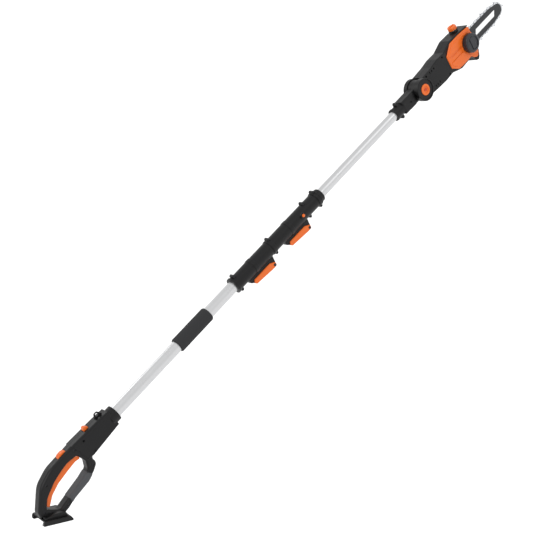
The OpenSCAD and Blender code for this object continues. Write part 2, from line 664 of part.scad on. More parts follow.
// The rivets' path: round the sprocket, out along the top edge, round the nose and back
belly = bar_w / 2 + rivet_lift;
nose_path_r = nose_r + rivet_lift;
function upper_path() = concat(
    [for (a = [180:-6:96]) [spindle_x - reach, 0] + rivet_r * [cos(a), sin(a)]],
    [[262, belly], [300, belly + 0.4], [360, belly + 0.4], [bar_top_x - reach, belly]],
    [for (a = [nose_from:-5:0]) [nose_x - reach, 0] + nose_path_r * [cos(a), sin(a)]]);
function path_points() = let (u = upper_path())
    concat(u, [for (i = [len(u) - 2:-1:1]) [u[i][0], -u[i][1]]], [u[0]]);
chain_path = path_points();
function path_piece(i) = i == 0 ? 0 : norm(chain_path[i] - chain_path[i - 1]);
path_sum = [for (i = 0, s = 0; i < len(chain_path); i = i + 1, s = s + (i < len(chain_path) ? path_piece(i) : 0)) s];
path_length = path_sum[len(path_sum) - 1];
function along(s) = let (i = max([for (k = [0:len(path_sum) - 2]) path_sum[k] <= s ? k : 0]),
    t = (s - path_sum[i]) / (path_sum[i + 1] - path_sum[i])) chain_path[i] * (1 - t) + chain_path[i + 1] * t;
rivet_count = 2 * drive_link_count;
rivet_step = path_length / rivet_count;
module at_link(i) {
    p = along(rivet_step * i);
    q = along(rivet_step * ((i + 1) % rivet_count));
    $chord = norm(q - p);
    translate([p[0], bar_y, p[1] + drive_z]) rotate([0, -atan2(q[1] - p[1], q[0] - p[0]), 0]) children();
}
module link_plate(y0, y1, list) { slab(y0, y1) polygon(list); }
module chain_drive_links() {
    color(steel) head_frame() for (i = [0:2:rivet_count - 1]) {
        // no tang round the two sprockets, where it would stand between their teeth
        straight = along(rivet_step * (i + 0.5))[0] > 214 && along(rivet_step * (i + 0.5))[0] < 424;
        at_link(i) difference() {
            link_plate(-0.6, 0.6, straight
                ? [[-2.4, -1.6], [2, -2.8], [4, -7.2], [6, -7.2], [7.6, -2.8], [11.9, -1.6], [11.9, 2.2], [-2.4, 2.2]]
                : [[-2.4, -2.2], [11.9, -2.2], [11.9, 2.2], [-2.4, 2.2]]);
            for (t = [0, $chord]) rod_y(-2, 2, 1.5 + run_gap, t, 0);
        }
    }
}
module cutter_plate(s) {
    outline = [[-2.4, -2.4], [11.9, -2.4], [11.9, 1.6], [11.2, 5.6], [9.4, 6.2], [8.2, 2.6],
        [5.8, 2.6], [4.6, 7.2], [-2, 6.4], [-2.4, 0]];
    if (s < 0) link_plate(-1.9, -0.65, outline); else link_plate(0.65, 1.9, outline);
    // the cutter's top plate overhangs its side plate
    slab(s < 0 ? -3.2 : 0.65, s < 0 ? -0.65 : 3.2) polygon([[-2, 5.4], [4.3, 6.1], [4.6, 7.2], [-2, 6.4]]);
}
module tie_plate(s) {
    link_plate(s < 0 ? -1.9 : 0.65, s < 0 ? -0.65 : 1.9,
        [[-2.4, -2.4], [11.9, -2.4], [11.9, 2.2], [10, 2.6], [-0.5, 2.6], [-2.4, 2.2]]);
}
module chain_side_links() {
    color(silver) head_frame() for (i = [1:2:rivet_count - 1]) at_link(i) {
        side = (i - 1) % 8 == 0 ? -1 : (i - 1) % 8 == 4 ? 1 : 0;
        if (side == -1) cutter_plate(-1); else tie_plate(-1);
        if (side == 1) cutter_plate(1); else tie_plate(1);
        for (t = [0, $chord]) rod_y(-2.1, 2.1, 1.5, t, 0);
    }
}
module drive_sprocket() {
    color(steel) head_frame() difference() {
        union() {
            slab(bar_y - 2.6, bar_y + 1.6) translate([spindle_x - reach, drive_z]) star(6, 10, 14.4, 3.2, 1.6);
            rod_y(bar_y - 5, bar_y + 1.6, 8, spindle_x - reach, drive_z);
        }
        rod_y(-40, 0, 4.02, spindle_x - reach, drive_z);
    }
}
module spindle() { color(steel) head_frame() rod_y(bar_y - 7, 22.6, 4, spindle_x - reach, drive_z); }
module face_gear() {
    color("#6d7075") head_frame() translate([spindle_x - reach, 0, drive_z]) difference() {
        union() {
            rod_y(motor_y + pinion_r + 1.8, motor_y + pinion_r + 5.6, gear_r + 2.4, 0, 0);
            for (k = [0:gear_teeth - 1]) rotate([0, 360 * (k + 0.5) / gear_teeth, 0])
                translate([-gear_r - 2.2, 0, 0]) rotate([90, 0, 90]) linear_extrude(4.4)
                    translate([motor_y + pinion_r, 0])
                        polygon([[-1.2, -0.35], [2, -1.1], [2, 1.1], [-1.2, 0.35]]);
        }
        rod_y(-40, 40, 4.02, 0, 0);
    }
}
module spindle_bearings() {
    color(steel) head_frame() {
        difference() {
            rod_y(recess_y + 0.2, recess_y + 6.2, 9, spindle_x - reach, drive_z);
            rod_y(recess_y, recess_y + 8, 4 + run_gap, spindle_x - reach, drive_z);
        }
        difference() {
            rod_y(16.2, 21.2, 8, spindle_x - reach, drive_z);
            rod_y(16, 22, 4 + run_gap, spindle_x - reach, drive_z);
        }
        difference() {
            rod_x(154, 160, 7, motor_y, drive_z);
            rod_x(153, 161, 2.5 + run_gap, motor_y, drive_z);
        }
    }
}
module motor() {
    color("#55585d") translate([0, 0, drive_z]) difference() {
        union() {
            rod_x(motor_from, motor_to, 18.5, motor_y);
            rod_x(motor_to - 1, motor_to + 3, 8, motor_y);
        }
        rod_x(motor_from + 3, motor_to - 3, 16.5, motor_y);
        rod_x(motor_from - 5, motor_to + 5, 2.5 + run_gap, motor_y);
    }
}
module motor_rotor() {
    translate([0, motor_y, drive_z]) {
        color("#b06a3a") rod_x(motor_from + 12, motor_to - 10, 14.5);
        color(steel) {
            rod_x(motor_from + 1, reach + 179, 2.5);
            difference() {
                rod_x(reach + 169, reach + 178.5, pinion_r - 1.9);
                rod_x(reach + 168, reach + 180, 1);
            }
            translate([reach + 169, 0, 0]) rotate([90, 0, 90]) linear_extrude(9.5)
                star(pinion_teeth, pinion_r - 1.9, pinion_r + 1.1, 1.1, 0.4);
        }
    }
}
module oil_tank() {
    color("#d8d4c4") head_frame() difference() {
        union() {
            box([219, 280], [recess_y + 3, 22], [12, 40]);
            rod_z(39, 57, 12.5, oil_x - reach, oil_y);
        }
        box([221, 278], [recess_y + 5, 20], [14, 38]);
        rod_z(30, 60, 10.5, oil_x - reach, oil_y);
    }
}
module oil_cap() {
    color(orange) head_frame() difference() {
        union() {
            rod_z(57.2, 71, 15, oil_x - reach, oil_y);
            rod_z(50, 58, 10.5 - run_gap, oil_x - reach, oil_y);
        }
        for (k = [0:11]) translate([oil_x - reach, oil_y, 0]) rotate([0, 0, 30 * k]) rod_z(56, 80, 1.6, 15.8);
    }
}

handle_shell_near();
handle_shell_far();
strut_cover();
trigger();
trigger_pin();
trigger_spring();
main_switch();
lock_off_button();
lock_off_spring();
tube_latch();
tube_latch_spring();
strap_eyelet();
terminal_block();
terminal_blades();
control_board();
handle_screws();
lower_tube();
foam_grip();
curly_cable();
coupler_lower_near();
coupler_lower_far();
coupler_upper_near();
coupler_upper_far();
clamp_lever_lower();
clamp_lever_upper();
lever_pins();
clamp_pads();
coupler_screws();
pole_button();
pole_button_spring();
guide_bush();
upper_tube();
slide_bush();
head_lead();
link_near();
link_far();
link_screws();
lock_ring();
pivot_axle();
tilt_button();
tilt_button_spring();
housing_near();
housing_far();
housing_screws();
sprocket_cover();
cover_knob();
guide_bar();
chain_drive_links();
chain_side_links();
nose_sprocket();
bar_stud();
motor();
motor_rotor();
face_gear();
spindle();
spindle_bearings();
drive_sprocket();
oil_tank();
oil_cap();
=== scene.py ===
"""Telescoping pole saw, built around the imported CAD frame. Lengths here are millimetres unless said."""
import json
import math

import bmesh
import bpy
from mathutils import Matrix, Vector
from mathutils.geometry import tessellate_polygon


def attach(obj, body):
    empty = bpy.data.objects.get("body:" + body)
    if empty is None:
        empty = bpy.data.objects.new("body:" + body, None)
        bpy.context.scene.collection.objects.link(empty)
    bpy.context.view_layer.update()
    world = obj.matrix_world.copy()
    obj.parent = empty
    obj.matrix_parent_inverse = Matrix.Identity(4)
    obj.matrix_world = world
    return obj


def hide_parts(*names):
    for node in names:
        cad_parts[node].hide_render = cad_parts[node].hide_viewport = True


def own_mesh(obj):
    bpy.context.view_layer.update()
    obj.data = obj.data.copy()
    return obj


MM = 0.001
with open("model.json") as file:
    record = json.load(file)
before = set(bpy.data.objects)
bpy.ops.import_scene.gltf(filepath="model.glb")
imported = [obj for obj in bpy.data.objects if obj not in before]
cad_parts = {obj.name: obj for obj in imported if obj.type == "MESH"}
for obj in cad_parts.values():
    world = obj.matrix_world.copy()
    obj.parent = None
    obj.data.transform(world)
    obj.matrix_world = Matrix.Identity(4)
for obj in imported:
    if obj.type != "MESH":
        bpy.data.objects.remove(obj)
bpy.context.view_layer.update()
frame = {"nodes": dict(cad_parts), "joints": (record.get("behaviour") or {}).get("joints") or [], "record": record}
joint_at = {j["name"]: [1000 * v for v in j.get("pos_m", (0, 0, 0))] for j in frame["joints"]}
slot_of = {p["node"]: p["material_slot"] for p in frame["record"]["subparts"]}
PIVOT_X = joint_at["head_tilt"][0]


# ---- materials ----
COAT_ROUGH = 0.2
BUMP_STRENGTH = 0.6
GRAIN_SCALE, GRAIN_DETAIL = 900, 3
CLOUD_SCALE, CLOUD_DETAIL = 25, 4
CLOUD_SPAN = 0.3, 0.7       # the part of the cloud's range that the roughness follows


def noise(nodes, links, scale, detail):
    """The output of a noise texture laid out in the object's own space."""
    where = nodes.new("ShaderNodeTexCoord")
    texture = nodes.new("ShaderNodeTexNoise")
    texture.inputs["Scale"].default_value = scale
    texture.inputs["Detail"].default_value = detail
    links.new(where.outputs["Object"], texture.inputs["Vector"])
    return texture.outputs["Fac"]


def shader(name, colour, rough, metal=0.0, coat=0.0, grain=0.0, grain_scale=GRAIN_SCALE, mottled=0.0, gloss=0.5):
    """A Principled material. grain is the height of a fine moulded or cast texture in mm, and mottled
    is how far the roughness varies over the surface."""
    mat = bpy.data.materials.new(name)
    mat.use_nodes = True
    nodes, links = mat.node_tree.nodes, mat.node_tree.links
    bsdf = nodes["Principled BSDF"]
    bsdf.inputs["Base Color"].default_value = (*colour, 1)
    bsdf.inputs["Roughness"].default_value = rough
    bsdf.inputs["Metallic"].default_value = metal
    bsdf.inputs["Coat Weight"].default_value = coat
    bsdf.inputs["Coat Roughness"].default_value = COAT_ROUGH
    bsdf.inputs["Specular IOR Level"].default_value = gloss
    if grain:
        bump = nodes.new("ShaderNodeBump")
        bump.inputs["Strength"].default_value = BUMP_STRENGTH
        bump.inputs["Distance"].default_value = grain * MM
        links.new(noise(nodes, links, grain_scale, GRAIN_DETAIL), bump.inputs["Height"])
        links.new(bump.outputs["Normal"], bsdf.inputs["Normal"])
    if mottled:
        spread = nodes.new("ShaderNodeMapRange")
        spread.inputs["From Min"].default_value = CLOUD_SPAN[0]
        spread.inputs["From Max"].default_value = CLOUD_SPAN[1]
        spread.inputs["To Min"].default_value = rough - mottled
        spread.inputs["To Max"].default_value = rough + mottled
        links.new(noise(nodes, links, CLOUD_SCALE, CLOUD_DETAIL), spread.inputs["Value"])
        links.new(spread.outputs["Result"], bsdf.inputs["Roughness"])
    return mat


LOOKS = {
    "black_plastic": dict(colour=(0.0062, 0.0062, 0.0066), rough=0.4, grain=0.05, mottled=0.05, gloss=0.22),
    "knob_plastic": dict(colour=(0.016, 0.017, 0.021), rough=0.38, grain=0.04, mottled=0.04, gloss=0.4),
    "soft_grip": dict(colour=(0.05, 0.052, 0.057), rough=0.6, grain=0.06, gloss=0.35),
    "foam": dict(colour=(0.026, 0.0265, 0.028), rough=0.9, grain=0.5, grain_scale=420.0, gloss=0.25),
    "orange_plastic": dict(colour=(0.66, 0.115, 0.005), rough=0.36, coat=0.08, grain=0.04, mottled=0.04, gloss=0.38),
    "tube_aluminium": dict(colour=(0.56, 0.563, 0.57), rough=0.3, metal=0.9, grain=0.01, mottled=0.04),
    "spring_steel": dict(colour=(0.62, 0.63, 0.65), rough=0.25, metal=1.0),
    "dark_screws": dict(colour=(0.03, 0.03, 0.034), rough=0.35, metal=0.7),
    "inner_plastic": dict(colour=(0.06, 0.06, 0.065), rough=0.5),
    "circuit_board": dict(colour=(0.02, 0.14, 0.06), rough=0.35, coat=0.3),
    "contact_metal": dict(colour=(0.75, 0.56, 0.26), rough=0.25, metal=1.0),
    "cable_rubber": dict(colour=(0.022, 0.022, 0.024), rough=0.55, grain=0.05),
    "bar_steel": dict(colour=(0.018, 0.019, 0.021), rough=0.36, metal=0.2, grain=0.02, mottled=0.08, gloss=0.4),
    "chain_steel": dict(colour=(0.6, 0.61, 0.63), rough=0.24, metal=1.0, mottled=0.06),
    "chain_dark": dict(colour=(0.32, 0.33, 0.35), rough=0.32, metal=1.0, mottled=0.06),
    "gear_steel": dict(colour=(0.42, 0.43, 0.45), rough=0.35, metal=1.0),
    "motor_can": dict(colour=(0.45, 0.46, 0.48), rough=0.3, metal=1.0),
    "tank_plastic": dict(colour=(0.72, 0.7, 0.62), rough=0.4),
    "deep_orange": dict(colour=(0.42, 0.035, 0.003), rough=0.4, grain=0.04),
    "pale_mark": dict(colour=(0.85, 0.85, 0.85), rough=0.45),
}
materials = {name: shader(name, **look) for name, look in LOOKS.items()}
# the CAD nodes that no piece below stands for are seen as they are
for node, obj in frame["nodes"].items():
    obj.data.materials.clear()
    obj.data.materials.append(materials[slot_of[node]])


# ---- shapes ----
MIN_RADIUS = 0.05           # the sharpest corner that an outline has
MIN_INSET_RADIUS = 0.3      # the same, once it has been drawn in or out
MAX_SHARE = 0.48            # a rounded corner takes at most this share of the sides beside it


def unit(v):
    return v / v.length


def cross(a, b):
    return a.x * b.y - a.y * b.x


def corner_arc(before, corner, after, radius, steps):
    """Points of the arc that rounds a corner of an outline."""
    u, v = unit(before - corner), unit(after - corner)
    half = math.acos(max(-1.0, min(1.0, u.dot(v)))) / 2
    reach = min(radius / math.tan(half), MAX_SHARE * min((before - corner).length, (after - corner).length))
    radius = reach * math.tan(half)
    middle = corner + unit(u + v) * radius / math.sin(half)
    p, q = corner + u * reach - middle, corner + v * reach - middle
    start = math.atan2(p.y, p.x)
    turn = (math.atan2(q.y, q.x) - start + math.pi) % (2 * math.pi) - math.pi
    angles = [start + turn * i / steps for i in range(steps + 1)]
    return [middle + radius * Vector((math.cos(t), math.sin(t))) for t in angles]


def rounded(corners, steps=8):
    """An outline's corners [x, z, radius], anticlockwise, as points."""
    out = []
    for i, (x, z, radius) in enumerate(corners):
        before, after = Vector(corners[i - 1][:2]), Vector(corners[(i + 1) % len(corners)][:2])
        out += corner_arc(before, Vector((x, z)), after, max(radius, MIN_RADIUS), steps)
    return out


def inset(corners, depth):
    """The same outline drawn in by depth, or out where depth is negative."""
    out = []
    for i, (x, z, radius) in enumerate(corners):
        before, corner = Vector(corners[i - 1][:2]), Vector((x, z))
        after = Vector(corners[(i + 1) % len(corners)][:2])
        d, e = unit(corner - before), unit(after - corner)
        p, q = corner - depth * Vector((d.y, -d.x)), corner - depth * Vector((e.y, -e.x))
        meet = p + d * cross(q - p, e) / cross(d, e)
        change = -depth if cross(d, e) > 0 else depth
        out.append((meet.x, meet.y, max(radius + change, MIN_INSET_RADIUS)))
    return out


def disc(x, z, radius, corners=12):
    """A circle as an outline."""
    reach = radius / math.cos(math.pi / corners)
    turns = [2 * math.pi * k / corners for k in range(corners)]
    return [(x + reach * math.cos(t), z + reach * math.sin(t), radius) for t in turns]


def make(name, verts, faces):
    """A mesh object from millimetres."""
    mesh = bpy.data.meshes.new(name)
    mesh.from_pydata([Vector(v) * MM for v in verts], [], faces)
    build = bmesh.new()
    build.from_mesh(mesh)
    bmesh.ops.recalc_face_normals(build, faces=build.faces)
    build.to_mesh(mesh)
    build.free()
    obj = bpy.data.objects.new(name, mesh)
    bpy.context.scene.collection.objects.link(obj)
    return obj


def edge_profile(y0, y1, near, far, steps):
    """Pairs of inset and y up the side of a plate. near and far are the (inset, height) of its two edges."""
    turn = [math.pi / 2 * i / steps for i in range(steps + 1)]
    low = [(near[0] * (1 - math.sin(t)), y0 + near[1] * (1 - math.cos(t))) for t in turn]
    high = [(far[0] * (1 - math.sin(t)), y1 - far[1] * (1 - math.cos(t))) for t in reversed(turn)]
    return (low if near[0] else [(0, y0)]) + (high if far[0] else [(0, y1)])


def plate(corners, y0, y1, near=0.0, far=0.0, holes=(), place=None, steps=4, arc=8):
    """A slab from y0 to y1 with rounded edges, and holes whose mouths are rounded too. near and far are
    a radius, or an inset and a height. steps divide an edge, and arc divides a corner of the outline."""
    near = near if isinstance(near, tuple) else (near, near)
    far = far if isinstance(far, tuple) else (far, far)
    levels = edge_profile(y0, y1, near, far, steps)
    verts, faces, ends = [], [], []
    for outline, way in [(corners, 1)] + [(h, -1) for h in holes]:
        start = len(verts)
        for depth, y in levels:
            verts += [(p.x, y, p.y) for p in rounded(inset(outline, way * depth), arc)]
        n = (len(verts) - start) // len(levels)
        for k in range(len(levels) - 1):
            for i in range(n):
                j = (i + 1) % n
                row, above = start + k * n, start + (k + 1) * n
                faces.append((row + i, row + j, above + j, above + i))
        ends.append((start, start + (len(levels) - 1) * n, n))
    for side in (0, 1):
        loops = [[verts[e[side] + i] for i in range(e[2])] for e in ends]
        index = [e[side] + i for e in ends for i in range(e[2])]
        flat = [[Vector((v[0], v[2], 0)) for v in loop] for loop in loops]
        faces += [tuple(index[i] for i in tri) for tri in tessellate_polygon(flat)]
    if place:
        verts = [place @ Vector(v) for v in verts]
    return make("plate", verts, faces)


def turned(profile, axis="X", centre=(0, 0, 0), count=72):
    """A solid of revolution from pairs of position along the axis and radius, with count sides."""
    verts, faces = [], []
    for along, radius in profile:
        for k in range(count):
            t = 2 * math.pi * k / count
            c, s = radius * math.cos(t), radius * math.sin(t)
            v = {"X": (along, c, s), "Y": (s, along, c), "Z": (c, s, along)}[axis]
            verts.append(Vector(v) + Vector(centre))
    rows = len(profile)
    for r in range(rows - 1):
        for k in range(count):
            j = (k + 1) % count
            row, above = r * count, (r + 1) * count
            faces.append((row + k, row + j, above + j, above + k))
    faces += [tuple(range(count)), tuple(range((rows - 1) * count, rows * count))]
    return make("turned", verts, faces)


def rod(a0, a1, radius, lip0=0.0, lip1=0.0, axis="X", centre=(0, 0, 0), count=72, steps=4):
    """A cylinder with rounded ends."""
    turn = [math.pi / 2 * i / steps for i in range(steps + 1)]
    low, high = [(a0, radius)], [(a1, radius)]
    if lip0:
        low = [(a0 + lip0 * (1 - math.cos(t)), radius - lip0 * (1 - math.sin(t))) for t in turn]
    if lip1:
        high = [(a1 - lip1 * (1 - math.cos(t)), radius - lip1 * (1 - math.sin(t))) for t in reversed(turn)]
    return turned(low + high, axis, centre, count)


def apply_modifiers(obj):
    bpy.context.view_layer.update()
    mesh = bpy.data.meshes.new_from_object(obj.evaluated_get(bpy.context.evaluated_depsgraph_get()))
    obj.modifiers.clear()
    obj.data = mesh
    return obj


def boolean(obj, other, operation):
    """Applies a boolean to obj and takes the other object away."""
    step = obj.modifiers.new("step", "BOOLEAN")
    step.operation = operation
    step.solver = "MANIFOLD"
    step.object = other
    apply_modifiers(obj)
    bpy.data.objects.remove(other)
    return obj


def union(*parts):
    """Several solids as one. The first of them is changed and the others are used up."""
    whole = parts[0]
    for part in parts[1:]:
        boolean(whole, part, "UNION")
    return whole


def cut(obj, *cutters):
    """Takes the cutters out of obj."""
    for cutter in cutters:
        boolean(obj, cutter, "DIFFERENCE")
    return obj


CAD_WELD, SHAPE_WELD = 0.002, 0.004     # points closer than this are one point


def clean(obj, flat=1.0):
    """Joins points that lie together and takes away edges between faces within flat degrees of each other."""
    build = bmesh.new()
    build.from_mesh(obj.data)
    bmesh.ops.remove_doubles(build, verts=build.verts, dist=SHAPE_WELD * MM)
    bmesh.ops.dissolve_limit(build, angle_limit=math.radians(flat), verts=build.verts, edges=build.edges)
    bmesh.ops.recalc_face_normals(build, faces=build.faces)
    build.to_mesh(obj.data)
    build.free()
    return obj


def cad_copy(node):
    """A copy of a CAD node's mesh as a new object."""
    obj = bpy.data.objects.new(node + "_copy", frame["nodes"][node].data.copy())
    bpy.context.scene.collection.objects.link(obj)
    build = bmesh.new()
    build.from_mesh(obj.data)
    bmesh.ops.remove_doubles(build, verts=build.verts, dist=CAD_WELD * MM)
    build.to_mesh(obj.data)
    build.free()
    return obj


def inside(node, envelope):
    """The CAD node cut to a rounder outside, so its bores, slots and hollows stay as they are."""
    return clean(boolean(cad_copy(node), envelope, "INTERSECT"), flat=0.3)


def chamfered(obj, width, angle=35):
    """Breaks the edges of obj that turn by more than angle degrees."""
    clean(obj)
    step = obj.modifiers.new("edges", "BEVEL")
    step.width = width * MM
    step.segments = 1
    step.limit_method = "ANGLE"
    step.angle_limit = math.radians(angle)
    step.use_clamp_overlap = False
    step.miter_outer = "MITER_ARC"
    return apply_modifiers(obj)


def joined(parts):
    """Several objects as one mesh."""
    build = bmesh.new()
    for part in parts:
        build.from_mesh(part.data)
    mesh = bpy.data.meshes.new("joined")
    build.to_mesh(mesh)
    build.free()
    for part in parts[1:]:
        bpy.data.objects.remove(part)
    parts[0].data = mesh
    return parts[0]


def mirrored(obj):
    """The same shape on the other side of the plane y = 0."""
    obj.data.transform(Matrix.Scale(-1, 4, (0, 1, 0)))
    obj.data.flip_normals()
    return obj


def piece(obj, name, *nodes, body=None, sharp=38, slot=None):
    """Names a finished shape, gives it its material, and lets it stand for CAD nodes on their body.
    A piece without a node names its body and slot. Edges over sharp degrees stay hard."""
    obj.name = name
    obj.data.name = name
    slot = slot or slot_of[nodes[0]]
    obj.data.materials.clear()
    obj.data.materials.append(materials[slot])
    for face in obj.data.polygons:
        face.use_smooth = True
        face.material_index = 0
    obj.data.set_sharp_from_angle(angle=math.radians(sharp))
    flats = obj.modifiers.new("flats", "WEIGHTED_NORMAL")
    flats.keep_sharp = True
    flats.weight = 100
    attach(obj, body or body_of_node[nodes[0]])
    if nodes:
        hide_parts(*nodes)
    return obj


def coil(radius, wire, height, turns, place, sides=8, per_turn=14, ends=0.7):
    """A coil spring along Z. wire is its wire's radius, and ends is how many turns lie flat at each end."""
    spine = []
    for i in range(int(turns * per_turn) + 1):
        t = i / per_turn
        free = max(0.0, min(1.0, (t - ends) / (turns - 2 * ends)))
        flat = wire * min(t, ends) + wire * max(0.0, t - (turns - ends))
        rise = wire + flat + (height - 2 * wire - 2 * wire * ends) * free
        angle = 2 * math.pi * t
        spine.append(Vector((radius * math.cos(angle), radius * math.sin(angle), rise)))
    return sweep(spine, wire, place, sides)


def sweep(spine, radius, place=Matrix.Identity(4), sides=8):
    """A closed round bar along a list of points, none of whose stretches runs along Z."""
    verts, faces = [], []
    for i, p in enumerate(spine):
        along = unit(spine[min(i + 1, len(spine) - 1)] - spine[max(i - 1, 0)])
        side = unit(along.cross(Vector((0, 0, 1))))
        other = unit(side.cross(along))
        for k in range(sides):
            t = 2 * math.pi * k / sides
            verts.append(place @ (p + radius * (math.cos(t) * side + math.sin(t) * other)))
    for i in range(len(spine) - 1):
        for k in range(sides):
            j = (k + 1) % sides
            row, above = i * sides, (i + 1) * sides
            faces.append((row + k, row + j, above + j, above + k))
    faces += [tuple(range(sides)), tuple(range((len(spine) - 1) * sides, len(spine) * sides))]
    return make("sweep", verts, faces)


body_of_node = {n: b for b, ns in frame["record"]["behaviour"]["bodies"].items() for n in ns}

# ---- rear handle ----
# outlines as corners (x, z, radius), anticlockwise
HANDLE = [(203, 26.2, 1), (150, 30, 30), (66, 33, 60), (-20, 30.5, 80), (-65, 15, 60),
          (-112, -34, 18), (-115.4, -48, 1), (-64, -89.5, 1), (-46, -88.5, 6), (-20, -81.5, 40),
          (36, -77.5, 40), (62, -68, 14), (83, -56, 14), (80, -34, 12), (203, -23.9, 1)]
HAND_OPENING = [(-89, -43, 5), (-66, -72, 12), (-30, -66.5, 30), (24, -59, 40), (52, -52, 12),
                (63, -30, 10), (56, 1, 8), (25, 6, 40), (-2, 2, 40), (-30, -5, 40), (-68, -22, 30)]
BODY = [(203, 26.2, 1), (150, 30, 30), (70, 32.8, 10), (57.5, 33, 3), (65, 6, 8),
        (71, -31.5, 3), (90, -33.2, 6), (203, -23.9, 1)]
STRUT = [(-34, -85.3, 4), (-20, -81.5, 40), (36, -77.5, 40), (58, -69.5, 6), (47, -53.3, 6), (24, -59, 40),
         (-30, -66.5, 4)]
TRIGGER = [(-80, -49, 3), (-54, -30, 30), (-24, -19.5, 40), (16, -14, 40), (44, -11.5, 12), (58, -15, 3),
           (62, 5, 5), (50, 9, 5), (14, 9, 30), (-24, 1, 30), (-62, -16, 20), (-86, -38, 4)]
GRIP_HALF, BODY_HALF, FOOT_HALF, FOOT_STEP = 17, 20, 40, 9
SKIN = 0.05                 # the rounded outside lies this far within the CAD's
PARTING = 0.12              # half of the gap between two moulded halves
SEAM_EDGE = 0.35            # the chamfer along that gap
FOOT_SLOPE = math.radians(38.9)
FOOT = Matrix.Translation((-94, 0, -82)) @ Matrix.Rotation(FOOT_SLOPE, 4, "Y")
FOOT_LOWER = [(-40, 0, 1), (40, 0, 1), (40, 5, 1), (33, 13, 2), (-37, 13, 2), (-40, 8, 2)]
FOOT_UPPER = [(-34, 8, 1), (32, 8, 1), (24, 24, 4), (0, 24, 4), (-32, 17, 3)]


def near_slab(corners, half, edge, holes=(), place=None, steps=5):
    """The near half of a moulded slab: a rounded outside and a small chamfer at the parting line."""
    return plate(inset(corners, SKIN), -half + SKIN, -PARTING, edge, SEAM_EDGE, holes, place, steps)


def box(x0, x1, z0, z1, radius):
    """A rectangle as an outline."""
    return [(x0, z0, radius), (x1, z0, radius), (x1, z1, radius), (x0, z1, radius)]


def half_rod(profile):
    """The near half of a solid of revolution about X, cut off at the parting line."""
    past, wide = 5, 60      # how far the cutting block reaches beyond the solid
    wall = plate(box(profile[0][0] - past, profile[-1][0] + past, -wide, wide, 0.1), -wide, -PARTING, arc=1)
    return boolean(turned(profile), wall, "INTERSECT")


def handle_envelope():
    """The near half's rounded outside: grip, body, nose ring and the two steps of the battery foot."""
    nose_ring = [(178, 20.5), (180, 21.2), (182, 23.45), (196, 23.45), (198, 22.6), (200, 23.45),
                 (205, 23.3), (206, 22.4)]
    return union(near_slab(HANDLE, GRIP_HALF, (6.6, 8.2), [inset(HAND_OPENING, -SKIN)]),
                 near_slab(BODY, BODY_HALF, (5.5, 6.5)),
                 half_rod(nose_ring),
                 near_slab(FOOT_LOWER, FOOT_HALF, 1.8, place=FOOT),
                 near_slab(FOOT_UPPER, FOOT_HALF - FOOT_STEP, 3, place=FOOT))


def near_and_far(name, build, piece_name):
    """The two halves of a moulding, whose CAD nodes are name_near and name_far."""
    for side in ("near", "far"):
        envelope = build()
        piece(inside(f"{name}_{side}", envelope if side == "near" else mirrored(envelope)),
              f"{piece_name}_{side}_half", f"{name}_{side}")


near_and_far("handle_shell", handle_envelope, "handle")
COVER_SKIN = 1.15           # the soft cover's thickness over the strut
STRUT_HALF = GRIP_HALF + COVER_SKIN
strut = plate(inset(STRUT, -COVER_SKIN), -STRUT_HALF, STRUT_HALF, (8, 9.5), (8, 9.5), steps=6)
piece(inside("strut_cover", strut), "hand_guard_cover", "strut_cover")
BUTTON_HALF, LATCH_HALF, EYELET_HALF = 8 - SKIN, 7 - SKIN, 2.5 - SKIN
trigger = plate(inset(TRIGGER, SKIN), -BUTTON_HALF, BUTTON_HALF, (2.2, 3.5), (2.2, 3.5), steps=5)
piece(inside("trigger", trigger), "trigger_strip", "trigger")


def button_ridges(x0, pitch, heights, half):
    """Grip ridges across a button, one at each height."""
    return [rod(-half, half, 0.8, 0.4, 0.4, "Y", (x0 + k * pitch, 0, z), 12, 2) for k, z in enumerate(heights)]


LOCK_OFF = [(16, 25, 1), (44, 25, 1), (44, 33, 3), (34, 37, 5), (22, 36, 8), (16, 31, 4)]
LATCH = [(111, 22, 1), (127, 22, 1), (127, 33, 2), (121, 40, 2), (115, 41, 2), (111, 34, 3)]
EYELET = [(152, 27.6, 0.5), (178, 27.6, 0.5), (174, 37, 4), (170, 43, 5), (160, 43, 5), (156, 37, 4)]
lock_off = plate(inset(LOCK_OFF, SKIN), -BUTTON_HALF, BUTTON_HALF, 1.8, 1.8)
lock_off = joined([lock_off] + button_ridges(21, 3.6, (35.9, 36.5, 36.5, 35.2, 33.6), 5.5))
piece(lock_off, "lock_off_key", "lock_off_button", sharp=50)
latch = plate(inset(LATCH, SKIN), -LATCH_HALF, LATCH_HALF, 1.6, 1.6)
latch = joined([latch] + button_ridges(121.5, 1.9, (38.9, 36.8, 34.5), 5))
piece(latch, "tube_latch_key", "tube_latch", sharp=50)
eyelet = plate(inset(EYELET, SKIN), -EYELET_HALF, EYELET_HALF, 1.4, 1.4, [disc(165, 36, 4)])
piece(eyelet, "strap_loop", "strap_eyelet")


# ---- pole ----
FOAM_FROM, FOAM_TO, FOAM_R, FOAM_BORE, FOAM_LIP = 452, 580, 21.95, 17.05, 2.2
FOAM_MOUTH = 17.3, 20.2     # the radii of the flat ring at each end


